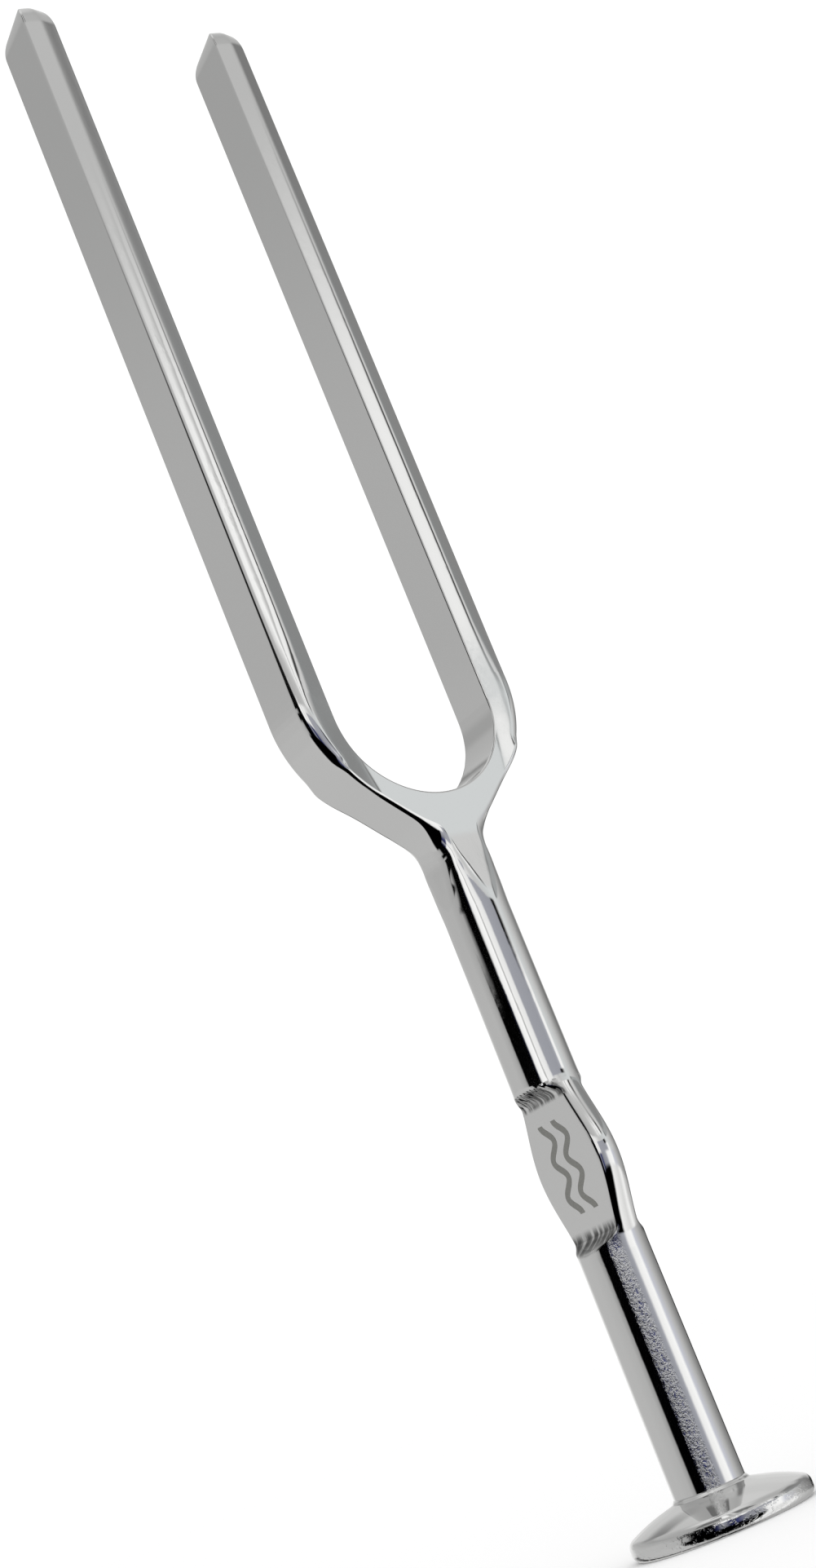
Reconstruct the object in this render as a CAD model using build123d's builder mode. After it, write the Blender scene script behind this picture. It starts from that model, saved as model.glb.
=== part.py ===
from build123d import *
from math import cos, pi, radians, sin
import os

# Tuning fork for 512 Hz in plated steel, in millimetres.
# Frame: +Z up along the stem, X across the two tines, Y front to back.
# The origin is the centre of the foot's flat underside.

# Whole fork
total_height = 120.0
overshoot = 1.0  # how far bodies that cut or trim run past the shape

# Tines: flat sides, crowned front and back faces
tine_thickness = 2.80
tine_side_depth = 3.75
tine_crown = 0.25
tine_half_span = 9.85
tine_splay = 0.0058
tine_corner_side = 1.30
tine_corner_face = 0.95
crown_start = 46.5

# Yoke: the U between the tines and the sloping shoulders below it
u_bottom = 52.0
u_height = 6.5
bend_corner = (9.87, 55.8)
bend_radius = 6.0
shoulder_angle = 40.0
neck_half_width = 2.05
neck_radius = 4.5
head_start = 47.0
head_margin = 0.04
neck_corner = 0.6

# Stem: round, a little thicker towards the foot
stem_top_radius = 2.34
stem_base_radius = 2.46
stem_round_end = 42.5

# Pad: a stretch of the stem pinched flat on its two sides
pad_centre = 24.8
pad_length = 10.2
pad_half_thickness = 1.0
pad_half_depth = 3.55
pad_swell_length = 12.75
pad_sections = 8
die_width = 4.0
die_radius = 0.9

# Foot: a turned disc with a conical top, pressed on to the stem's spigot
foot_radius = 6.28
foot_rim_height = 1.05
foot_top_edge = 0.22
foot_under_edge = 0.12
foot_cone_end = (3.05, 2.30)
foot_seat_height = 2.70
spigot_radius = 1.50
spigot_end = 0.90

os.makedirs("parts", exist_ok=True)


def tine_outer(z):
    """Distance of a tine's outer face from the middle plane at height z."""
    return tine_half_span + tine_splay * (z - u_bottom)


def tine_inner(z):
    """Distance of a tine's inner face from the middle plane at height z."""
    return tine_outer(z) - tine_thickness


def stem_radius(z):
    """Radius of the slightly tapered stem at height z."""
    share = (z - foot_seat_height) / (stem_round_end - foot_seat_height)
    return stem_base_radius + (stem_top_radius - stem_base_radius) * share


def pad_swell(z):
    """Depth of the stem where pinching spreads it, from 0 at the pad's ends to 1."""
    return 0.5 + 0.5 * cos(2 * pi * (z - pad_centre) / pad_swell_length)


crown_half_depth = tine_side_depth / 2 + tine_crown
head_half_depth = crown_half_depth + head_margin
slope = Vector(cos(radians(shoulder_angle)), sin(radians(shoulder_angle)))
bend = Vector(*bend_corner)
shoulder_foot = bend - slope * ((bend.X - neck_half_width) / slope.X)
u_side = u_bottom + u_height

with BuildPart() as head:
    # Outline of the yoke and tines, seen from the front
    with BuildSketch(Plane.XZ):
        with BuildLine():
            outer = FilletPolyline(
                (0, head_start),
                (neck_half_width, head_start),
                (shoulder_foot.X, shoulder_foot.Y),
                (bend.X, bend.Y),
                (tine_outer(total_height), total_height),
                (tine_inner(total_height), total_height),
                (tine_inner(u_side), u_side),
                radius=(0, neck_radius, bend_radius, tine_corner_face, tine_corner_face),
            )
            EllipticalCenterArc(
                (0, u_side), tine_inner(u_side), u_height, start_angle=270, arc_size=90
            )
            Line((0, u_bottom), (0, head_start))
        make_face()
        mirror(about=Plane.YZ)
    extrude(amount=head_half_depth, both=True)

    # Side view: the tips' corners are rounded front and back
    with BuildSketch(Plane.YZ):
        with Locations((0, (head_start + total_height) / 2)):
            Rectangle(2 * head_half_depth, total_height - head_start)
        tips = vertices().group_by(Axis.Y)[-1]
        fillet(tips, tine_corner_side)
    extrude(amount=2 * tine_half_span, both=True, mode=Mode.INTERSECT)

with BuildPart() as faces:
    # The flat web between the tines
    with Locations((0, 0, (head_start + total_height) / 2)):
        Box(2 * tine_inner(u_side), tine_side_depth, total_height - head_start)
    # Each tine's crowned bar, leaning out with the tine's splay
    for side in (-1, 1):
        low_outer = side * tine_outer(crown_start)
        low_inner = side * tine_inner(crown_start)
        half = tine_side_depth / 2
        with BuildSketch(Plane.XY.offset(crown_start)):
            with BuildLine():
                Line((low_outer, -half), (low_outer, half))
                ThreePointArc(
                    (low_outer, half),
                    ((low_outer + low_inner) / 2, crown_half_depth),
                    (low_inner, half),
                )
                Line((low_inner, half), (low_inner, -half))
                ThreePointArc(
                    (low_inner, -half),
                    ((low_outer + low_inner) / 2, -crown_half_depth),
                    (low_outer, -half),
                )
            make_face()
        bar_length = total_height - crown_start + overshoot
        extrude(amount=bar_length, dir=(side * tine_splay, 0, 1))

with BuildPart() as fork:
    add(head)
    add(faces, mode=Mode.INTERSECT)

    # Stem above the pad's middle and below it, in round and swollen sections
    pad_top = pad_centre + pad_swell_length / 2
    pad_bottom = pad_centre - pad_swell_length / 2
    with BuildSketch(Plane.XY.offset(foot_seat_height)):
        Circle(stem_radius(foot_seat_height))
    with BuildSketch(Plane.XY.offset(pad_bottom)):
        Circle(stem_radius(pad_bottom))
    loft(ruled=True)
    with BuildSketch(Plane.XY.offset(pad_top)):
        Circle(stem_radius(pad_top))
    with BuildSketch(Plane.XY.offset(stem_round_end)):
        Circle(stem_radius(stem_round_end))
    loft(ruled=True)
    for n in range(pad_sections + 1):
        z = pad_bottom + pad_swell_length * n / pad_sections
        radius = stem_radius(z)
        with BuildSketch(Plane.XY.offset(z)):
            Ellipse(radius, radius + (pad_half_depth - radius) * pad_swell(z))
    loft()

    # The round stem runs out into the flat neck
    with BuildSketch(Plane.XY.offset(stem_round_end)):
        Circle(stem_radius(stem_round_end))
    with BuildSketch(Plane.XY.offset(head_start)):
        RectangleRounded(2 * neck_half_width, tine_side_depth, neck_corner)
    loft(ruled=True)

    # Spigot for the foot
    with Locations((0, 0, spigot_end)):
        Cylinder(
            spigot_radius,
            foot_seat_height - spigot_end,
            align=(Align.CENTER, Align.CENTER, Align.MIN),
        )

    # The pad's two flats, pressed by a die with rounded edges
    die_x = pad_half_thickness + die_width / 2
    with BuildSketch(Plane.XZ):
        with Locations((-die_x, pad_centre), (die_x, pad_centre)):
            RectangleRounded(die_width, pad_length, die_radius)
    extrude(amount=pad_half_depth + overshoot, both=True, mode=Mode.SUBTRACT)

fork.part.label = "fork"
export_step(fork.part, "parts/fork.step")

with BuildPart() as foot:
    with BuildSketch(Plane.XZ):
        with BuildLine():
            Polyline(
                (0, 0),
                (foot_radius, 0),
                (foot_radius, foot_rim_height),
                foot_cone_end,
            )
            TangentArc(
                foot_cone_end,
                (stem_base_radius, foot_seat_height),
                tangent=(foot_cone_end[0] - foot_radius, foot_cone_end[1] - foot_rim_height),
            )
            Polyline(
                (stem_base_radius, foot_seat_height),
                (spigot_radius, foot_seat_height),
                (spigot_radius, spigot_end),
                (0, spigot_end),
                (0, 0),
            )
        make_face()
        rim = vertices().group_by(Axis.X)[-1].sort_by(Axis.Y)
        fillet(rim[0], foot_under_edge)
        fillet(rim[-1], foot_top_edge)
    revolve(axis=Axis.Z)

foot.part.label = "foot"
export_step(foot.part, "parts/foot.step")
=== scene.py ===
from math import atan2, ceil, cos, pi, radians, sin, sqrt

import bmesh
import bpy
import numpy as np
from mathutils import Matrix, Vector


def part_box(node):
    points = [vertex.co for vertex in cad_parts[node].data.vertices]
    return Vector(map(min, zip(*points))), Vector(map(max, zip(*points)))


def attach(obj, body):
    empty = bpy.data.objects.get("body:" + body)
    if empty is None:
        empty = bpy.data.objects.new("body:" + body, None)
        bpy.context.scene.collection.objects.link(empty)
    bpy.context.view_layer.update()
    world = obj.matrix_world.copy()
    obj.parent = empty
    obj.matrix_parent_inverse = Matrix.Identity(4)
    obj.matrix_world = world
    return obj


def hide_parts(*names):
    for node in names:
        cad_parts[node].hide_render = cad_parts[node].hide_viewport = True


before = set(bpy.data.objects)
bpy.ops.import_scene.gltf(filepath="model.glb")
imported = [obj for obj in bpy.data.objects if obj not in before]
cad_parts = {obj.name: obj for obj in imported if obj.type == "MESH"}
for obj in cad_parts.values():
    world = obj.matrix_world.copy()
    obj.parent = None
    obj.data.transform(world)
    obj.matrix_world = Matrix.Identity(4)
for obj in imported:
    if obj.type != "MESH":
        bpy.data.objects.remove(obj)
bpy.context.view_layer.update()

MM = 0.001
TOUCHING = 1e-6
ON_AXIS = 0.001
FAR_AWAY = 99.0

# All shapes are in millimetres: x across the tines, y from front to back, z up.
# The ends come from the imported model.
fork_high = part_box("fork")[1] / MM
foot_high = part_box("foot")[1] / MM
TIP = fork_high.z
SEAT = foot_high.z
FOOT_RADIUS = foot_high.x

# The tines and the U between them. The splay is sideways lean per millimetre of height.
THICKNESS = 2.80
SIDE_DEPTH = 1.875
SPLAY = 0.0058
U_BOTTOM = 52.0
U_HEIGHT = 6.5
U_TOP = U_BOTTOM + U_HEIGHT
HALF_SPAN = fork_high.x - SPLAY * (TIP - U_BOTTOM)

# The outer outline's corners as (x, z), the radii that round them, and where the outline ends on the stem
BEND = (9.87, 55.8)
BEND_RADIUS = 9.0
NECK = (1.99, 48.95)
NECK_RADIUS = 4.3
STEM_JOIN = (2.345, 44.2)
JOIN_RADIUS = 25.0
OUTLINE_END = 30

# The stem's radii, and the heights between which the flat yoke turns into it
STEM_TOP = 2.35
STEM_BASE = 2.46
NECK_BLEND = (49.6, 43.0)

# The roof on the front of the tines: slopes on both sides of a soft ridge
OUTER_SLOPE = 0.235
OUTER_CROWN = 0.012
INNER_SLOPE = 0.20
RIDGE_SOFT = 0.11

# The roof's outer side rolls over between these heights, then flattens out on the yoke
ROLL_FROM = 65.5
ROLL_OVER = 7.0
ROLL_RADIUS = 1.30
ROLL_WIDTH = 1.00
ROLL_SINK = 0.11
FLAT_FROM = 55.6
FLAT_OVER = 1.8
FLAT_RISE = 0.5

# The line where the roof's inner side starts, which leans inwards below VALLEY_START
VALLEY_START = 57.5
VALLEY_LEAN = 0.235
VALLEY_SOFT = 2.4
VALLEY_ROUND = 0.07

# Edge radii: the gap's and how far below the U it is looked for, then the outer edge's by height
# until it opens out into the round stem
EDGE = 0.13
GAP_REACH = 0.4
OUTER_EDGE = [
    (90, 0.16), (66, 0.26), (60, 0.30), (55, 0.37), (50.6, 0.37), (49.9, 0.45), (49.2, 0.82), (48.4, 1.30),
    (46.8, 1.75), (45, 2.1),
]
EDGE_SPREAD = 0.5
EDGE_OPENS = 46.5

# The rounded tine ends: fullness across and in depth, and how far they lean back
DOME = 2.5
DOME_POWERS = (2.1, 2.1)
TIP_LEAN = 0.42
TIP_REACH = 6.0

# The pad: a front-to-back swelling of the stem with a flat on each side
PAD_CENTRE = 24.78
PAD_HALF = 4.83
PAD_THICK = 1.0
PAD_DEPTH = 3.55
PAD_SWELL = 6.4
PAD_SHOULDER = 1.3
PAD_EARLY = 0.15
PAD_OVERSHOOT = 0.03
PAD_CORNER = 0.48
PAD_END_SOFT = 0.45

# The mesh's rows: where the straight tines end, where the lines across the yoke reach the neck,
# and how many rows each part has
STRAIGHT_END = 60.5
STRAIGHT_SPARE = 1.5
MEET = 49.35
DOME_ROWS = 22
TINE_ROWS = 22
BEND_ROWS = 125
NECK_ROWS = 60
NECK_GRADING = 1.7
STEM_ROWS = 22
PAD_ROWS = 165
LOW_ROWS = 16
PAD_MARGIN = 0.6
CLOSING_ROWS = (0.25, 0.08, -0.05)

# The mesh's columns, from the gap round the front to the outer side
WALL_SHARES = (0, 0.3, 0.6, 0.85, 0.95)
IN_COLUMNS = 4
FRONT_COLUMNS = 34
OUT_COLUMNS = 6
SIDE_COLUMNS = 10
SHEET = IN_COLUMNS + FRONT_COLUMNS + OUT_COLUMNS + SIDE_COLUMNS
EVEN_KEYS = np.array([0, IN_COLUMNS, IN_COLUMNS + FRONT_COLUMNS, SHEET - SIDE_COLUMNS, SHEET]) / SHEET
SHARP = radians(50)

# The foot's turned profile
RIM_HEIGHT = 1.22
RIM_UNDER = 0.55
RIM_TOP = 0.62
CONE_SWELL = (4.75, 1.92)
CONE_END = (2.68, 2.44)
CONE_RADIUS = 12.0
FLARE = 0.30
SEAM = 0.04
SPIGOT = (STEM_BASE - 0.5, SEAT - 0.12)
FOOT_TURNS = 192

# The wave mark on the pad
WAVE_LANES = (-0.72, 0.72)
WAVE_COUNT = 2.5
WAVE_SWING = 0.42
WAVE_LENGTH = 6.4
WAVE_OFFSET = 0.1
WAVE_WIDTH = 0.46
WAVE_STEPS = 140
MARK_PROUD = 0.012

# The plating: how much it reflects, how dark and how strong the painted dark reflection on the pad's shoulders
# is, and the depths of its texture
METAL = 0.9
PAINTED_DARK_TONE = 0.03
PAINTED_DARK_AMOUNT = 0.85
PEEL_DEPTH = 0.0020
FOOT_PEEL_DEPTH = 0.0012
LINE_DEPTH = 0.0028
PIT_DEPTH = 0.011
COMB_DEPTH = 0.030
COMB_PITCH = 0.36
COMB_WAVER = 5.0
KNOCK_DEPTH = 0.007
TOOTH_DEPTH = 0.004
PIT_SIDE = (-0.60, -0.80)
PITS_TO = 20.5
PITS_FADE = 3.0
KNOCKS_TO = (0.75, 1.25)

# Grains of noise per millimetre along x, y and z
PEEL_GRAIN = (0.8, 0.8, 0.5)
PATCH_GRAIN = (0.5, 0.5, 0.22)
LINE_GRAIN = (4.0, 4.0, 1.4)
PIT_GRAIN = (5.0, 5.0, 4.0)
WAVER_GRAIN = (0.8, 1.5, 0.5)
STREAK_GRAIN = (0.25, 2.6, 0.25)
BRUSH_GRAIN = (1.0, 3.5, 0.3)
SMEAR_GRAIN = (0.35, 0.35, 0.2)
FOOT_PEEL_GRAIN = (0.6, 0.6, 0.6)
FOOT_SMEAR_GRAIN = (0.5, 0.5, 0.5)
KNOCK_GRAIN = (2.6, 2.6, 4.0)
TOOTH_GRAIN = (9.0, 9.0, 9.0)

# The studio and the camera
PLAIN_LIGHT = 1.08
FLOOR_REACH = 40.0
FLOOR_TONE = 0.93
CAMERA_PLACE = Vector((-99.29, -110.54, 12.32)) * MM
CAMERA_SIDE = atan2(CAMERA_PLACE.y, CAMERA_PLACE.x)
YAW, PITCH, ROLL = radians(41.52), radians(15.62), radians(-21.98)
LENS = 50.05
SENSOR = 36

# Tints of what the plating mirrors
NEUTRAL = (1, 1, 0.995)
PALE = (0.985, 1, 1)
BLUE = (0.975, 0.985, 1.03)
NAVY = (0.7, 0.75, 1.25)

# What the plating mirrors, as rings from below to overhead. Each ring has the degrees of elevation
# over which it takes over from the ring before it. Its stops are degrees round the horizon from the
# camera's side, a display tone from 0 to 255, and a tint unless it is neutral.
# Straight down there is one plain tone.
NADIR_TONE = 165
STUDIO_RINGS = [
    # Steeply below: the underside of the foot's rim
    (-80, -68, [
        (-180, 8), (-168, 8), (-163, 175), (-158, 175), (-155, 50), (-144, 40), (-138, 178), (-62, 182),
        (-54, 6), (50, 4), (57, 235), (84, 212), (100, 240), (114, 190), (130, 165), (160, 165),
        (168, 8),
    ]),
    # Below: the pad's upper shoulder and the rim's lower edge
    (-48, -40, [
        (-180, 195), (-158, 180), (-155, 50), (-144, 40), (-138, 178), (-62, 182), (-54, 6), (50, 4),
        (57, 235), (84, 212), (100, 240), (114, 190), (150, 165),
    ]),
    # Just below level: the foot's rim and the lowest part of the stem
    (-10, -5.5, [
        (-180, 205), (-172, 225), (-164, 230), (-150, 205), (-140, 180), (-120, 178), (-96, 178),
        (-60, 172), (-47, 150), (-43, 4), (-14, 6, NAVY), (-9, 60, NAVY), (-2, 150, BLUE), (7, 62, NAVY),
        (16, 84, NAVY), (28, 132, BLUE), (48, 162, BLUE), (56, 235), (76, 246), (84, 200, BLUE),
        (104, 178), (122, 150), (135, 132), (150, 118), (158, 40), (168, 30), (172, 225),
    ]),
    # Level: the stem and the pad
    (2, 6, [
        (-180, 180), (-172, 215), (-160, 208), (-148, 180), (-132, 176), (-120, 175), (-84, 176),
        (-66, 166), (-59, 150), (-55, 3), (-17, 1), (-12, 30, NAVY), (-8, 235), (6, 248), (9, 150),
        (12, 236), (26, 228), (31, 158, BLUE), (62, 154, BLUE), (70, 164, BLUE), (74, 240), (80, 240),
        (84, 206, PALE), (104, 186), (122, 150), (138, 122), (150, 110), (170, 215),
    ]),
    # The stem below the neck
    (9.5, 11.5, [
        (-180, 198), (-172, 196), (-162, 190), (-158, 172), (-150, 176), (-120, 173), (-84, 173),
        (-50, 160), (-42, 110), (-36, 3), (-14, 1), (-8, 235), (6, 248), (9, 150), (12, 236), (27, 228),
        (32, 160, BLUE), (62, 152, BLUE), (66, 30), (71, 20), (75, 150), (79, 205, PALE),
        (84, 207, PALE), (104, 186), (122, 156), (138, 130), (150, 118), (170, 205),
    ]),
    # The neck, the flat of the yoke and the bends
    (13.6, 14.6, [
        (-180, 198), (-172, 196), (-162, 190), (-158, 170), (-150, 172), (-120, 170), (-84, 170),
        (-60, 160), (-55, 3), (-14, 1), (-8, 235), (6, 248), (9, 150), (12, 236), (28, 228), (50, 190),
        (66, 198, PALE), (78, 206, PALE), (87, 207, PALE), (90, 110), (95, 158, PALE), (122, 156, PALE),
        (138, 130), (150, 118), (170, 205),
    ]),
    # The lower part of the tines
    (17, 19.5, [
        (-180, 196), (-168, 190), (-158, 172), (-150, 166), (-120, 166), (-90, 167), (-60, 160),
        (-52, 30), (-16, 30), (-4, 170), (30, 176), (46, 184), (53, 212), (58, 246), (60, 150),
        (62, 238), (70, 230), (73, 70), (77, 64), (80, 200), (87, 198), (96, 134, PALE), (112, 130),
        (150, 128), (165, 200),
    ]),
    # The upper part of the tines, the wall of the U and the pad's lower shoulder
    (24, 34, [
        (-180, 190), (-172, 170), (-163, 128), (-150, 142), (-134, 160), (-120, 154), (-90, 156),
        (-50, 160), (-20, 160), (30, 182), (76, 182), (88, 170), (104, 120), (124, 122), (140, 180),
        (165, 195),
    ]),
    # The tips and the outer part of the foot's cone
    (38, 44, [
        (-180, 196), (-150, 176), (-100, 165), (-44, 160), (-40, 106), (-3, 112), (1, 236), (9, 236),
        (13, 118), (17, 200), (20, 200), (23, 112), (48, 108), (54, 175), (96, 168), (130, 175),
        (165, 200),
    ]),
    # Overhead
    (60, 78, [(-180, 205)]),
]


def smooth(value):
    """0 below 0, 1 above 1, and an S-curve between."""
    t = np.clip(value, 0.0, 1.0)
    return t * t * (3 - 2 * t)


def outer_x(z):
    return HALF_SPAN + SPLAY * (z - U_BOTTOM)


def inner_x(z):
    return outer_x(z) - THICKNESS


def stem_radius(z):
    share = np.clip((z - SEAT) / (NECK_BLEND[1] - SEAT), 0, 1)
    return STEM_BASE + (STEM_TOP - STEM_BASE) * share


def roundness(z):
    """0 on the flat yoke, 1 on the round stem."""
    return smooth((NECK_BLEND[0] - z) / (NECK_BLEND[0] - NECK_BLEND[1]))


def rounded_path(points, radii, step=0.05):
    """The points of a line whose corners are rounded by arcs."""
    path = [np.array(points[0], float)]
    for before, corner, after, radius in zip(points, points[1:], points[2:], radii):
        corner = np.array(corner, float)
        back = np.array(before, float) - corner
        on = np.array(after, float) - corner
        back /= np.linalg.norm(back)
        on /= np.linalg.norm(on)
        half = 0.5 * np.arccos(np.clip(back @ on, -1, 1))
        middle = (back + on) / np.linalg.norm(back + on)
        centre = corner + middle * radius / sin(half)
        start = corner + back * radius / np.tan(half) - centre
        end = corner + on * radius / np.tan(half) - centre
        turn = pi - 2 * half
        for share in np.linspace(0, 1, max(3, ceil(radius * turn / step))):
            a, b = sin((1 - share) * turn) / sin(turn), sin(share * turn) / sin(turn)
            path.append(centre + a * start + b * end)
    path.append(np.array(points[-1], float))
    return np.array(path)


def lengths_to(path):
    """The length of a path up to each of its points."""
    return np.r_[0, np.cumsum(np.linalg.norm(np.diff(path, axis=0), axis=1))]


def along(path, shares):
    """Points at shares of a path's length."""
    steps = lengths_to(path)
    at = np.array(shares) * steps[-1]
    return np.stack([np.interp(at, steps, path[:, k]) for k in range(path.shape[1])], 1)


def cut(path, low, high):
    """The stretch of a falling path between two heights."""
    z = np.linspace(high, low, 400)
    x = np.interp(-z, -path[:, 1], path[:, 0])
    return np.stack([x, z], 1)


OUTLINE = rounded_path(
    [(outer_x(TIP), TIP), BEND, NECK, STEM_JOIN, (stem_radius(OUTLINE_END), OUTLINE_END)],
    [BEND_RADIUS, NECK_RADIUS, JOIN_RADIUS],
)
OUTLINE_POINTS = along(OUTLINE, np.linspace(0, 1, 3000))
OUTLINE_TANGENTS = np.gradient(OUTLINE_POINTS, axis=0)
OUTLINE_TANGENTS /= np.linalg.norm(OUTLINE_TANGENTS, axis=1)[:, None]
U_ANGLES = np.linspace(0, pi / 2, 400)
U_CURVE = np.stack([inner_x(U_TOP) * np.cos(U_ANGLES), U_BOTTOM + U_HEIGHT * (1 - np.sin(U_ANGLES))], 1)


def bend_lines():
    """Lines from the U's curve to the outer outline, from the straight tines down to the middle."""
    angle = np.linspace(0, pi / 2, 300)
    curve = np.stack([inner_x(U_TOP) * np.cos(angle), U_TOP - U_HEIGHT * np.sin(angle)], 1)
    inner = np.concatenate([[(inner_x(STRAIGHT_END), STRAIGHT_END)], curve])
    outer = cut(OUTLINE, MEET, STRAIGHT_END)
    shares = np.linspace(0, 1, BEND_ROWS)
    return [(xi, zi, xo, zo) for (xi, zi), (xo, zo) in zip(along(inner, shares), along(outer, shares))]


def neck_lines():
    """Lines from the fork's axis to the outer outline, down the neck."""
    end = NECK_BLEND[1]
    shares = np.linspace(0, 1, NECK_ROWS)[1:]
    outer = along(cut(OUTLINE, end, MEET), shares)
    graded = shares ** NECK_GRADING
    return [(0.0, U_BOTTOM + (end - U_BOTTOM) * share, xo, zo) for share, (xo, zo) in zip(graded, outer)]


def stem_lines():
    """Level lines from the fork's axis to the stem's surface, close together over the pad."""
    pad_top = PAD_CENTRE + PAD_SWELL + PAD_MARGIN
    pad_end = PAD_CENTRE - PAD_SWELL - PAD_MARGIN
    first, *rest = [SEAT + above for above in CLOSING_ROWS]
    heights = np.r_[
        np.linspace(NECK_BLEND[1], pad_top, STEM_ROWS)[1:],
        np.linspace(pad_top, pad_end, PAD_ROWS)[1:],
        np.linspace(pad_end, first, LOW_ROWS)[1:],
        rest,
    ]
    return [(0.0, z, stem_radius(z), z) for z in heights]


def station_lines():
    """The lines (inner x, inner z, outer x, outer z) that cross one half of the fork, from tip to foot."""
    heights = np.linspace(TIP - DOME, STRAIGHT_END + STRAIGHT_SPARE, TINE_ROWS)
    tine = [(inner_x(z), z, outer_x(z), z) for z in heights]
    return tine + bend_lines() + neck_lines() + stem_lines()


def lower_of(a, b, soft):
    """The lower of two heights, with the line where they cross rounded."""
    return 0.5 * (a + b - np.sqrt((a - b) ** 2 + soft ** 2))


def outline_distance(x, z):
    """Distance from points to the fork's outer outline."""
    close = (OUTLINE_POINTS[:, 1] > z.min() - 4) & (OUTLINE_POINTS[:, 1] < z.max() + 4)
    if not close.any():
        return np.full(len(x), FAR_AWAY)
    near, tangent = OUTLINE_POINTS[close], OUTLINE_TANGENTS[close]
    best = ((x[:, None] - near[:, 0]) ** 2 + (z[:, None] - near[:, 1]) ** 2).argmin(1)
    away = np.stack([x, z], 1) - near[best]
    return np.abs(away[:, 0] * tangent[best, 1] - away[:, 1] * tangent[best, 0])


def gap_distance(x, z):
    """Distance from points to the edge of the gap between the tines."""
    straight = np.where(z > U_TOP, np.abs(x - inner_x(z)), FAR_AWAY)
    curve = np.sqrt((x[:, None] - U_CURVE[:, 0]) ** 2 + (z[:, None] - U_CURVE[:, 1]) ** 2).min(1)
    return np.minimum(straight, curve)


def outer_roof(x, z):
    """The roof's outer side: sloped on the tines, rolled over at the bend, level on the yoke."""
    inwards = outline_distance(x, z)
    tine = OUTER_SLOPE * inwards - OUTER_CROWN * inwards ** 2
    reach = np.clip(ROLL_WIDTH - inwards, 0, None)
    bend = np.sqrt(ROLL_RADIUS ** 2 - reach ** 2) - sqrt(ROLL_RADIUS ** 2 - ROLL_WIDTH ** 2) - ROLL_SINK
    rolled = smooth((ROLL_FROM - z) / ROLL_OVER)
    side = tine * (1 - rolled) + bend * rolled
    flat = smooth((FLAT_FROM - z) / FLAT_OVER)
    return side * (1 - flat) + FLAT_RISE * flat


def inner_roof(x, z):
    """The roof's inner side, which dies out along a line that leans inwards on the yoke."""
    below = VALLEY_START - z
    valley = inner_x(z) - VALLEY_LEAN * 0.5 * (below + np.sqrt(below ** 2 + VALLEY_SOFT ** 2))
    rise = INNER_SLOPE * np.minimum(x - valley, THICKNESS)
    return 0.5 * (rise + np.sqrt(rise ** 2 + VALLEY_ROUND ** 2))


def face_height(x, z):
    """Depth of the front face before its edges are rounded."""
    crown = lower_of(outer_roof(x, z), inner_roof(x, z), RIDGE_SOFT)
    blend = roundness(z)
    return (SIDE_DEPTH + crown) * (1 - blend) + stem_radius(z) * blend


def outer_edge(z):
    """Radius of the outer edge at a height: crisp on the tines, opening out into the round stem."""
    heights, radii = np.array(OUTER_EDGE[::-1], float).T
    near = np.linspace(z - EDGE_SPREAD, z + EDGE_SPREAD, 11)
    weights = np.hanning(13)[1:-1]
    flat = float((np.interp(near, heights, radii) * weights).sum() / weights.sum())
    blend = float(smooth((EDGE_OPENS - z) / (EDGE_OPENS - NECK_BLEND[1])))
    return flat * (1 - blend) + stem_radius(z) * blend


def round_off(distance, radius):
    """How far an edge of that radius drops at a distance in from the wall."""
    inside = np.clip(radius - distance, 0, radius)
    return radius - np.sqrt(radius ** 2 - inside ** 2)


def softened(path, reach):
    """A quarter section with its corner averaged over a stretch, using its mirror images past both ends."""
    window = np.hanning(2 * reach + 1)
    window /= window.sum()
    past_front = path[reach:0:-1] * (-1, 1)
    past_side = path[-2 : -reach - 2 : -1] * (1, -1)
    longer = np.concatenate([past_front, path, past_side])
    return np.stack([np.convolve(longer[:, k], window, mode="valid") for k in (0, 1)], 1)


def pad_section(points, z):
    """A round section swollen front to back and cut by the pad's flats, with softened corners."""
    radius = stem_radius(z)
    off = abs(z - PAD_CENTRE)
    swell = 0.5 + 0.5 * cos(pi * min(off / PAD_SWELL, 1.0))
    depth = radius + (PAD_DEPTH - radius) * swell
    points = points.copy()
    points[:, 1] *= depth / radius
    rise = smooth((off - PAD_HALF + PAD_EARLY) / PAD_SHOULDER)
    side = PAD_THICK + (radius + PAD_OVERSHOOT - PAD_THICK) * rise
    if side >= radius:
        return points
    edge = np.argmax(points[:, 0] > side)
    corner_y = np.interp(side, points[: edge + 1, 0], points[: edge + 1, 1])
    wall = np.stack([np.full(200, side), np.linspace(corner_y, 0, 200)], 1)
    path = along(np.concatenate([points[:edge], wall]), np.linspace(0, 1, 600))
    spacing = np.linalg.norm(path[1] - path[0])
    fade = (side - PAD_THICK) / (radius - PAD_THICK)
    corner = PAD_CORNER * (1 - fade) + PAD_END_SOFT * 4 * fade * (1 - fade)
    return softened(path, max(2, int(corner / spacing)))


def sheet_shares(keys):
    """Shares of a section's length for its columns, evenly spaced between the keys."""
    counts = (IN_COLUMNS, FRONT_COLUMNS, OUT_COLUMNS, SIDE_COLUMNS)
    parts = [np.linspace(a, b, n, endpoint=False) for a, b, n in zip(keys, keys[1:], counts)]
    return np.r_[np.concatenate(parts), keys[-1]]


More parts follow.
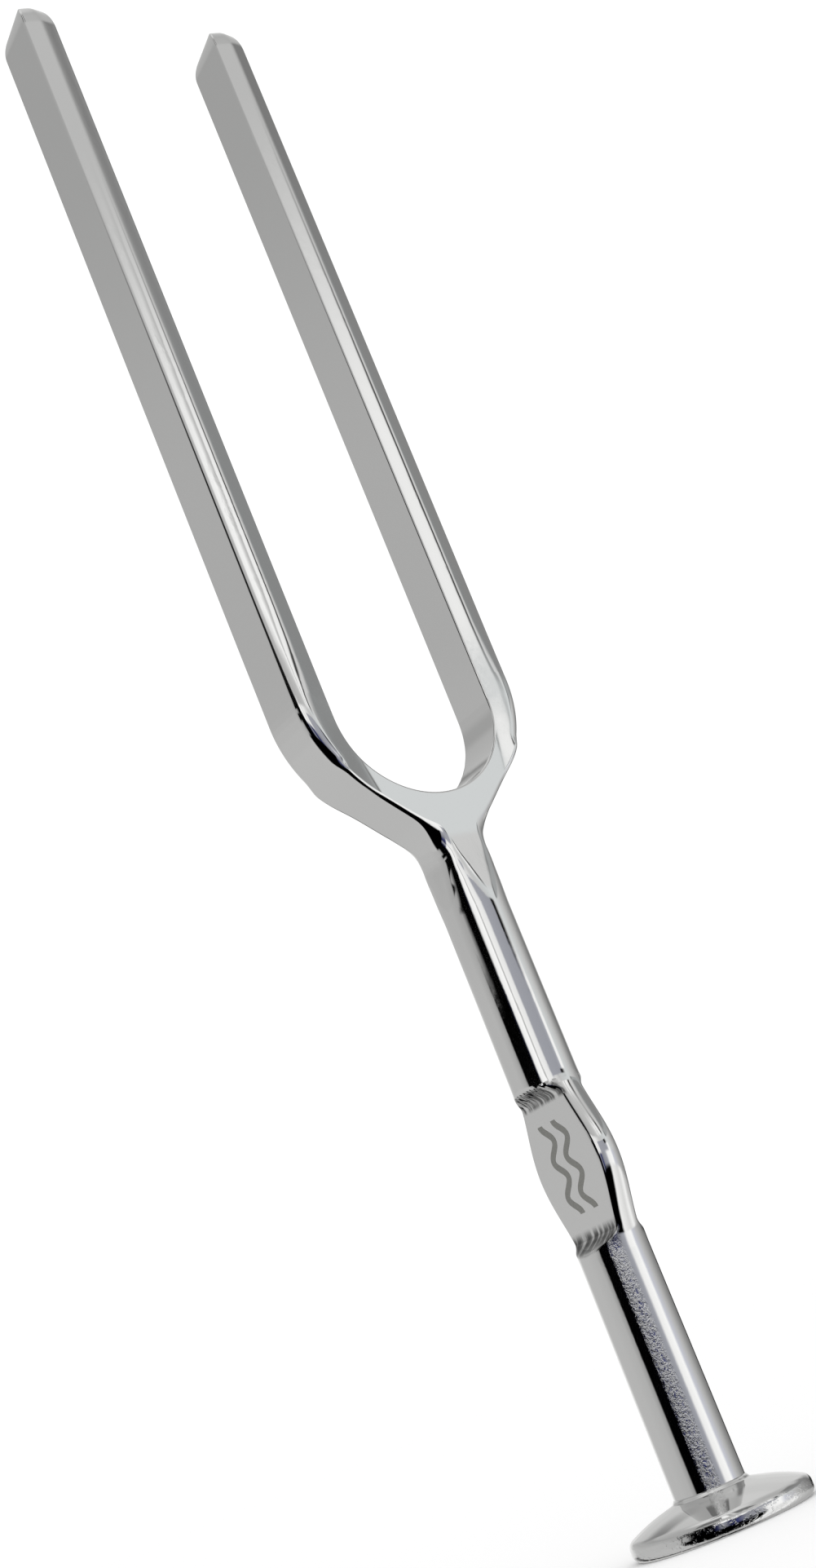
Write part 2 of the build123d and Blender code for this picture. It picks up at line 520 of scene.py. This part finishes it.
def distances_across(width, out_radius):
    """Distances from a line's inner end to its outer end, close together near both edges."""
    flat_end = width - out_radius
    arc = flat_end + out_radius * np.sin(np.linspace(0, pi / 2, 120))
    if flat_end <= TOUCHING:
        return arc
    close = min(0.5, 0.5 * flat_end)
    flat = np.r_[np.linspace(0, close, 80), np.linspace(close, flat_end, 200)[1:]]
    return np.r_[flat[:-1], arc]


def front_path(row, w, width, out_radius):
    """The front face along a line, with its edges rounded."""
    xi, zi, xo, zo = row
    x = xi + (xo - xi) * w / width
    z = zi + (zo - zi) * w / width
    drop = np.where(w > width - out_radius, round_off(width - w, out_radius), 0.0)
    beside_gap = xi > ON_AXIS or zi > U_BOTTOM - GAP_REACH
    if beside_gap:
        drop = drop + round_off(gap_distance(x, z), EDGE)
    return np.stack([x, drop - face_height(x, z), z], 1)


def section(row):
    """One quarter section: its points from the front's inner edge round to the middle of the outer side."""
    xi, zi, xo, zo = row
    width = sqrt((xo - xi) ** 2 + (zo - zi) ** 2)
    out_radius = min(outer_edge(zo), width)
    w = distances_across(width, out_radius)
    path = front_path(row, w, width, out_radius)
    level = xi == 0.0 and zi == zo
    if level and zo < PAD_CENTRE + PAD_SWELL:
        flat = pad_section(path[:, :2], zo)
        path = np.stack([flat[:, 0], flat[:, 1], np.full(len(flat), zo)], 1)
    if path[-1, 1] < -TOUCHING:
        side = np.linspace(path[-1], path[-1] * (1, 0, 1), 80)[1:]
        path = np.concatenate([path, side])
    blend = float(roundness(zo))
    if blend == 1:
        return along(path, sheet_shares(EVEN_KEYS))
    steps = lengths_to(path)
    at_w = steps[: len(w)] / steps[-1]
    edge_end, flat_end = np.interp([1.3 * EDGE, width - out_radius], w, at_w)
    keys = np.array([0, edge_end, flat_end, at_w[-1], 1])
    return along(path, sheet_shares(keys * (1 - blend) + EVEN_KEYS * blend))


def whole_row(row):
    """A section with the gap's wall before it, where there is a gap."""
    sheet = section(row)
    xi, zi = row[:2]
    beside_gap = xi > ON_AXIS or abs(zi - U_BOTTOM) < TOUCHING
    if not beside_gap:
        return sheet
    shares = np.array(WALL_SHARES)[:, None]
    wall = np.array([xi, 0, zi]) * (1 - shares) + sheet[0] * shares
    return np.concatenate([wall, sheet])


def dome_rows(ring):
    """The rounded tine end: the topmost row, shrinking towards the tip; the tip's rows come first."""
    base = TIP - DOME
    centre = (inner_x(base) + outer_x(base)) / 2
    rows = []
    for angle in np.linspace(pi / 2, 0, DOME_ROWS)[1:-1]:
        rise = sin(angle)
        across, deep = ((1 - rise ** power) ** (1 / power) for power in DOME_POWERS)
        shrunk = ring.copy()
        shrunk[:, 0] = centre + (ring[:, 0] - centre) * across + SPLAY * DOME * rise
        shrunk[:, 1] = ring[:, 1] * deep
        shrunk[:, 2] = base + DOME * rise
        rows.append(shrunk)
    return rows, (centre + SPLAY * DOME, 0, TIP)


def quarter_fork():
    """The vertices and faces of the fork's front right quarter, from the tip down."""
    lines = station_lines()
    body = [whole_row(line) for line in lines]
    dome, pole_point = dome_rows(body[0])
    rows = dome + body
    starts = [0]
    for row in rows:
        starts.append(starts[-1] + len(row))
    pole = starts[-1]
    verts = np.concatenate(rows + [[pole_point], [(0, 0, lines[-1][1])]])
    faces = [(pole, j, j + 1) for j in range(len(rows[0]) - 1)]
    for a, b, upper, lower in zip(starts, starts[1:], rows, rows[1:]):
        a += len(upper) - len(lower)
        faces += [(a + j, b + j, b + j + 1, a + j + 1) for j in range(len(lower) - 1)]
    last = starts[-2]
    faces += [(pole + 1, last + j + 1, last + j) for j in range(len(rows[-1]) - 1)]
    return verts, faces


def new_mesh(name, verts, faces):
    mesh = bpy.data.meshes.new(name)
    mesh.from_pydata([tuple(c * MM for c in v) for v in verts], [], faces)
    piece = bpy.data.objects.new(name, mesh)
    bpy.context.scene.collection.objects.link(piece)
    for polygon in mesh.polygons:
        polygon.use_smooth = True
    return piece


def face_outward(piece):
    body = bmesh.new()
    body.from_mesh(piece.data)
    bmesh.ops.recalc_face_normals(body, faces=body.faces)
    body.to_mesh(piece.data)
    body.free()


def sink_tips(body, depth_at):
    """Lower the tine ends by a depth at each vertex, fading out down the tines."""
    for vertex in body.verts:
        share = min(max(1 + (vertex.co.z / MM - TIP) / TIP_REACH, 0), 1)
        vertex.co.z -= depth_at(vertex) * share ** 2


def make_fork():
    """The whole fork: a quarter mirrored twice and joined, with leaning tine ends that still reach the tip."""
    piece = new_mesh("fork_body", *quarter_fork())
    for axis in (0, 1):
        mirror = piece.modifiers.new("mirror", "MIRROR")
        mirror.use_axis = (axis == 0, axis == 1, False)
        mirror.merge_threshold = 1e-6
    bpy.context.view_layer.objects.active = piece
    for modifier in list(piece.modifiers):
        bpy.ops.object.modifier_apply(modifier=modifier.name)
    body = bmesh.new()
    body.from_mesh(piece.data)
    bmesh.ops.remove_doubles(body, verts=body.verts, dist=1e-7)
    bmesh.ops.recalc_face_normals(body, faces=body.faces)
    for edge in body.edges:
        edge.smooth = edge.calc_face_angle(0) < SHARP
    sink_tips(body, lambda vertex: TIP_LEAN * vertex.co.y)
    excess = max(vertex.co.z for vertex in body.verts) - TIP * MM
    sink_tips(body, lambda vertex: excess)
    body.to_mesh(piece.data)
    body.free()
    return piece


def make_foot():
    """A turned disc: flat underside, rounded rim, conical top and a flare up to the stem."""
    outer = rounded_path(
        [
            (0.0, 0.0), (FOOT_RADIUS, 0.0), (FOOT_RADIUS, RIM_HEIGHT), CONE_SWELL, CONE_END,
            (STEM_BASE + SEAM, SEAT),
        ],
        [RIM_UNDER, RIM_TOP, CONE_RADIUS, FLARE], step=0.06,
    )
    path = [tuple(p) for p in outer] + [SPIGOT]
    verts = [(0, 0, path[0][1])]
    for k in range(FOOT_TURNS):
        angle = 2 * pi * k / FOOT_TURNS
        verts += [(r * cos(angle), r * sin(angle), z) for r, z in path[1:]]
    rows = len(path) - 1
    top = len(verts)
    verts.append((0, 0, path[-1][1]))
    faces = []
    for k in range(FOOT_TURNS):
        a, b = 1 + k * rows, 1 + (k + 1) % FOOT_TURNS * rows
        faces.append((0, b, a))
        faces += [(a + j, b + j, b + j + 1, a + j + 1) for j in range(rows - 1)]
        faces.append((a + rows - 1, b + rows - 1, top))
    piece = new_mesh("foot_disc", verts, faces)
    face_outward(piece)
    return piece


def ribbon(lane):
    """The outline of one wave line on the pad, as two matching sides."""
    sides = ([], [])
    for t in np.linspace(0, 1, WAVE_STEPS + 1):
        phase = 2 * pi * WAVE_COUNT * (t - 0.5)
        y = lane + WAVE_SWING * sin(phase)
        z = PAD_CENTRE + WAVE_OFFSET + WAVE_LENGTH * (t - 0.5)
        slope = WAVE_SWING * cos(phase) * 2 * pi * WAVE_COUNT / WAVE_LENGTH
        size = WAVE_WIDTH / 2 / sqrt(1 + slope * slope)
        sides[0].append((y + size, z - size * slope))
        sides[1].append((y - size, z + size * slope))
    return sides


def make_mark():
    """The pitch mark's stand-in: plain wave lines etched on the pad's flat, as thin closed ribbons."""
    verts, faces = [], []
    for lane in WAVE_LANES:
        left_side, right_side = ribbon(lane)
        ring = left_side + right_side[::-1]
        count, first = len(ring), len(verts)
        for depth in (-PAD_THICK - MARK_PROUD, -PAD_THICK + MARK_PROUD):
            verts += [(depth, y, z) for y, z in ring]
        for k in range(count):
            n = (k + 1) % count
            faces.append([first + i for i in (k, n, count + n, count + k)])
        for k in range(WAVE_STEPS):
            face = (k, k + 1, count - 2 - k, count - 1 - k)
            faces.append([first + i for i in face])
            faces.append([first + count + i for i in face[::-1]])
    piece = new_mesh("pitch_mark", verts, faces)
    for polygon in piece.data.polygons:
        polygon.use_smooth = False
    face_outward(piece)
    return piece


def link(tree, source, target):
    tree.links.new(source, target)


def math_node(tree, operation, first, second=None, third=None, clamp=False):
    """A math node whose inputs are sockets or numbers; returns its output."""
    made = tree.nodes.new("ShaderNodeMath")
    made.operation = operation
    made.use_clamp = clamp
    for socket, value in zip(made.inputs, (first, second, third)):
        if value is None:
            continue
        if isinstance(value, (int, float)):
            socket.default_value = value
        else:
            link(tree, value, socket)
    return made.outputs[0]


def product(tree, *factors):
    """The product of sockets and numbers."""
    result = factors[0]
    for factor in factors[1:]:
        result = math_node(tree, "MULTIPLY", result, factor)
    return result


def step_node(tree, value, low, high):
    """0 below low, 1 above high, and an S-curve between; returns the output."""
    made = tree.nodes.new("ShaderNodeMapRange")
    made.interpolation_type = "SMOOTHSTEP"
    made.inputs["From Min"].default_value = low
    made.inputs["From Max"].default_value = high
    link(tree, value, made.inputs["Value"])
    return made.outputs["Result"]


def band(tree, value, low, high, soft):
    """1 between two values, 0 outside them, with soft ends."""
    rise = step_node(tree, value, low - soft, low)
    fall = step_node(tree, value, high, high + soft)
    return math_node(tree, "SUBTRACT", rise, fall, clamp=True)


def mix_colour(tree, share, first, second):
    made = tree.nodes.new("ShaderNodeMix")
    made.data_type = "RGBA"
    link(tree, share, made.inputs[0])
    for socket, value in zip(made.inputs[6:8], (first, second)):
        if isinstance(value, tuple):
            socket.default_value = value
        else:
            link(tree, value, socket)
    return made.outputs[2]


def place_node(tree, stretch):
    """Coordinates in millimetres on the object, scaled along each axis by the stretch."""
    where = tree.nodes.new("ShaderNodeTexCoord")
    scale = tree.nodes.new("ShaderNodeMapping")
    scale.inputs["Scale"].default_value = tuple(s / MM for s in stretch)
    link(tree, where.outputs["Object"], scale.inputs["Vector"])
    return scale.outputs["Vector"]


def axis_node(tree, axis, scale=1 / MM):
    """The place on the object along one axis, in millimetres unless scaled otherwise."""
    where = tree.nodes.new("ShaderNodeTexCoord")
    apart = tree.nodes.new("ShaderNodeSeparateXYZ")
    link(tree, where.outputs["Object"], apart.inputs[0])
    return math_node(tree, "MULTIPLY", apart.outputs[axis], scale)


def facing(tree, direction):
    """How squarely a face looks along a level direction."""
    where = tree.nodes.new("ShaderNodeTexCoord")
    dot = tree.nodes.new("ShaderNodeVectorMath")
    dot.operation = "DOT_PRODUCT"
    dot.inputs[1].default_value = (*direction, 0)
    link(tree, where.outputs["Normal"], dot.inputs[0])
    return dot.outputs["Value"]


def noise_node(tree, stretch, detail=2.0, roughness=0.5):
    """Noise with that many grains per millimetre along each axis."""
    made = tree.nodes.new("ShaderNodeTexNoise")
    made.inputs["Scale"].default_value = 1.0
    made.inputs["Detail"].default_value = detail
    made.inputs["Roughness"].default_value = roughness
    link(tree, place_node(tree, stretch), made.inputs["Vector"])
    return made.outputs["Fac"]


def bump_node(tree, height, depth, before=None):
    """A bump of that depth in millimetres, on top of an earlier one."""
    made = tree.nodes.new("ShaderNodeBump")
    made.inputs["Distance"].default_value = depth * MM
    made.inputs["Strength"].default_value = 1.0
    link(tree, height, made.inputs["Height"])
    if before is not None:
        link(tree, before, made.inputs["Normal"])
    return made.outputs["Normal"]


def new_material(name):
    material = bpy.data.materials.new(name)
    material.use_nodes = True
    tree = material.node_tree
    return material, tree, tree.nodes["Principled BSDF"]


def chrome_material(name):
    material, tree, shader = new_material(name)
    shader.inputs["Base Color"].default_value = (METAL, METAL, METAL, 1)
    shader.inputs["Metallic"].default_value = 1
    return material, tree, shader


def polished(tree):
    """The bumps of orange peel and patches of drawn polish lines."""
    peel = bump_node(tree, noise_node(tree, PEEL_GRAIN), PEEL_DEPTH)
    patches = step_node(tree, noise_node(tree, PATCH_GRAIN), 0.46, 0.60)
    lines = product(tree, noise_node(tree, LINE_GRAIN, detail=3.0), patches)
    return bump_node(tree, lines, LINE_DEPTH, peel)


def pits(tree, height):
    """Pits low on one side of the stem."""
    grains = step_node(tree, noise_node(tree, PIT_GRAIN, detail=3.0, roughness=0.7), 0.40, 0.62)
    low = math_node(tree, "SUBTRACT", 1.0, step_node(tree, height, PITS_TO - PITS_FADE, PITS_TO))
    return product(tree, grains, low, step_node(tree, facing(tree, PIT_SIDE), 0.965, 0.992))


def combs(tree):
    """Even scratches side by side from front to back, wavering a little."""
    waver = product(tree, noise_node(tree, WAVER_GRAIN), COMB_WAVER)
    turn = math_node(tree, "ADD", axis_node(tree, "Y", 2 * pi / (COMB_PITCH * MM)), waver)
    return math_node(tree, "MULTIPLY_ADD", math_node(tree, "SINE", turn), 0.5, 0.5)


def painted_shoulder_dark(tree, height):
    """Painted dark reflection, in streaks where the pad's flats meet their shoulders."""
    # painted dark reflection: masks for the pad's upper and lower shoulders, broken into streaks
    top = band(tree, height, PAD_CENTRE + PAD_HALF - 0.15, PAD_CENTRE + PAD_HALF + 0.55, 0.35)
    low = band(tree, height, PAD_CENTRE - PAD_HALF - 0.45, PAD_CENTRE - PAD_HALF + 0.1, 0.65)
    streaks = step_node(tree, noise_node(tree, STREAK_GRAIN, detail=3.0), 0.30, 0.56)
    return product(tree, math_node(tree, "ADD", top, low), streaks, PAINTED_DARK_AMOUNT)


def satin(tree, height, sideways):
    """The extra roughness of the brushed pad face."""
    on_pad = band(tree, height, PAD_CENTRE - PAD_HALF, PAD_CENTRE + PAD_HALF, 0.2)
    brushed = math_node(tree, "MULTIPLY_ADD", noise_node(tree, BRUSH_GRAIN, detail=3.0), 0.16, 0.02)
    return product(tree, on_pad, step_node(tree, sideways, 0.985, 0.998), brushed)


def make_fork_chrome():
    """Bright plating over hand-finished steel, with pits low on the stem, worked shoulders on the pad and a
    painted dark reflection in streaks on those shoulders.
    """
    material, tree, shader = chrome_material("chrome_fork")
    height = axis_node(tree, "Z")
    sideways = math_node(tree, "ABSOLUTE", facing(tree, (1, 0)))
    ledges = step_node(tree, sideways, 0.35, 0.55)
    pitted = bump_node(tree, pits(tree, height), PIT_DEPTH, polished(tree))
    shoulder = band(tree, height, PAD_CENTRE + PAD_HALF - 0.2, PAD_CENTRE + PAD_HALF + 0.7, 0.2)
    combed = bump_node(tree, product(tree, combs(tree), shoulder, ledges), COMB_DEPTH, pitted)
    link(tree, combed, shader.inputs["Normal"])
    # painted dark reflection: the plating colour turns nearly black in streaks on the pad's shoulder ledges
    painted_dark = product(tree, painted_shoulder_dark(tree, height), ledges)
    plating = mix_colour(tree, painted_dark, (METAL, METAL, METAL, 1), (PAINTED_DARK_TONE, PAINTED_DARK_TONE, PAINTED_DARK_TONE, 1))
    link(tree, plating, shader.inputs["Base Color"])
    smear = math_node(tree, "MULTIPLY_ADD", noise_node(tree, SMEAR_GRAIN, detail=4.0), 0.05, 0.012)
    link(tree, math_node(tree, "ADD", smear, satin(tree, height, sideways)), shader.inputs["Roughness"])
    return material


def make_foot_chrome():
    """The same plating on the turned foot, knocked on the lower half of its rim."""
    material, tree, shader = chrome_material("chrome_foot")
    peel = bump_node(tree, noise_node(tree, FOOT_PEEL_GRAIN, detail=0.0), FOOT_PEEL_DEPTH)
    knocks = step_node(tree, noise_node(tree, KNOCK_GRAIN, detail=3.0, roughness=0.6), 0.50, 0.62)
    low = math_node(tree, "SUBTRACT", 1.0, step_node(tree, axis_node(tree, "Z"), *KNOCKS_TO))
    link(tree, bump_node(tree, product(tree, knocks, low), KNOCK_DEPTH, peel), shader.inputs["Normal"])
    smear = math_node(tree, "MULTIPLY_ADD", noise_node(tree, FOOT_SMEAR_GRAIN, detail=4.0), 0.05, 0.015)
    link(tree, smear, shader.inputs["Roughness"])
    return material


def make_etched():
    """Etched steel: matt and dark, with a fine tooth."""
    material, tree, shader = new_material("etched")
    shader.inputs["Roughness"].default_value = 0.62
    tooth = noise_node(tree, TOOTH_GRAIN, detail=3.0)
    tone = mix_colour(tree, tooth, (0.135, 0.135, 0.125, 1), (0.215, 0.215, 0.20, 1))
    link(tree, tone, shader.inputs["Base Color"])
    link(tree, bump_node(tree, tooth, TOOTH_DEPTH), shader.inputs["Normal"])
    return material


def make_floor():
    mesh = bpy.data.meshes.new("floor")
    far = FLOOR_REACH
    mesh.from_pydata([(-far, -far, 0), (far, -far, 0), (far, far, 0), (-far, far, 0)], [], [(0, 1, 2, 3)])
    floor = bpy.data.objects.new("floor", mesh)
    bpy.context.scene.collection.objects.link(floor)
    material, _, shader = new_material("floor")
    shader.inputs["Base Color"].default_value = (FLOOR_TONE, FLOOR_TONE, FLOOR_TONE, 1)
    shader.inputs["Roughness"].default_value = 1
    shader.inputs["Specular IOR Level"].default_value = 0
    mesh.materials.append(material)
    floor.visible_glossy = False


def seen(tone, tint):
    """Light that the plating mirrors as a display tone from 0 to 255."""
    return tuple((max(tone, 0) * t / 255) ** 2.2 / METAL for t in tint) + (1,)


def ring_ramp(tree, turn, stops):
    """A ramp round the horizon, from a ring's stops."""
    made = tree.nodes.new("ShaderNodeValToRGB")
    ramp = made.color_ramp
    while len(ramp.elements) > 1:
        ramp.elements.remove(ramp.elements[0])
    for count, (angle, tone, *tint) in enumerate(stops):
        place = (angle + 180) / 360
        element = ramp.elements[0] if count == 0 else ramp.elements.new(place)
        element.position = place
        element.color = seen(tone, *tint or [NEUTRAL])
    link(tree, turn, made.inputs["Fac"])
    return made.outputs["Color"]


def mirrored_colour(tree):
    """The studio's rings by direction, turned so that the camera's side is at 0 degrees."""
    where = tree.nodes.new("ShaderNodeTexCoord")
    turn = tree.nodes.new("ShaderNodeVectorRotate")
    turn.rotation_type = "Z_AXIS"
    turn.inputs["Angle"].default_value = -CAMERA_SIDE
    link(tree, where.outputs["Generated"], turn.inputs["Vector"])
    apart = tree.nodes.new("ShaderNodeSeparateXYZ")
    link(tree, turn.outputs["Vector"], apart.inputs[0])
    bearing = math_node(tree, "ARCTAN2", apart.outputs["Y"], apart.outputs["X"])
    share = math_node(tree, "MULTIPLY_ADD", bearing, 1 / (2 * pi), 0.5)
    rise = math_node(tree, "MULTIPLY", math_node(tree, "ARCSINE", apart.outputs["Z"]), 180 / pi)
    colour = seen(NADIR_TONE, NEUTRAL)
    for low, high, stops in STUDIO_RINGS:
        colour = mix_colour(tree, step_node(tree, rise, low, high), colour, ring_ramp(tree, share, stops))
    return colour


def make_world():
    """White for the eye and for the floor; the plating mirrors the studio's rings."""
    world = bpy.data.worlds.new("studio")
    bpy.context.scene.world = world
    world.use_nodes = True
    tree = world.node_tree
    tree.nodes.clear()
    mirrored = tree.nodes.new("ShaderNodeBackground")
    link(tree, mirrored_colour(tree), mirrored.inputs["Color"])
    plain = tree.nodes.new("ShaderNodeBackground")
    plain.inputs["Color"].default_value = (1, 1, 1, 1)
    plain.inputs["Strength"].default_value = PLAIN_LIGHT
    path = tree.nodes.new("ShaderNodeLightPath")
    choose = tree.nodes.new("ShaderNodeMixShader")
    link(tree, path.outputs["Is Glossy Ray"], choose.inputs[0])
    link(tree, plain.outputs[0], choose.inputs[1])
    link(tree, mirrored.outputs[0], choose.inputs[2])
    out = tree.nodes.new("ShaderNodeOutputWorld")
    link(tree, choose.outputs[0], out.inputs["Surface"])


def make_camera():
    """A rolled camera low in front, to the left, looking up the fork."""
    forward = Vector((sin(YAW) * cos(PITCH), cos(YAW) * cos(PITCH), sin(PITCH)))
    right = Vector((cos(YAW), -sin(YAW), 0))
    up = right.cross(forward)
    rolled_right = cos(ROLL) * right + sin(ROLL) * up
    rolled_up = -sin(ROLL) * right + cos(ROLL) * up
    place = Matrix((rolled_right, rolled_up, -forward)).transposed().to_4x4()
    place.translation = CAMERA_PLACE
    camera = bpy.data.objects.new("camera", bpy.data.cameras.new("camera"))
    camera.matrix_world = place
    camera.data.lens = LENS
    camera.data.sensor_width = SENSOR
    camera.data.clip_start = 0.01
    bpy.context.scene.collection.objects.link(camera)
    bpy.context.scene.camera = camera
    bpy.context.scene.view_settings.view_transform = "Standard"


fork = make_fork()
fork.data.materials.append(make_fork_chrome())
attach(fork, "root")
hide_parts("fork")
foot = make_foot()
foot.data.materials.append(make_foot_chrome())
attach(foot, "root")
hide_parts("foot")
mark = make_mark()
mark.data.materials.append(make_etched())
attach(mark, "root")
make_floor()
make_world()
make_camera()
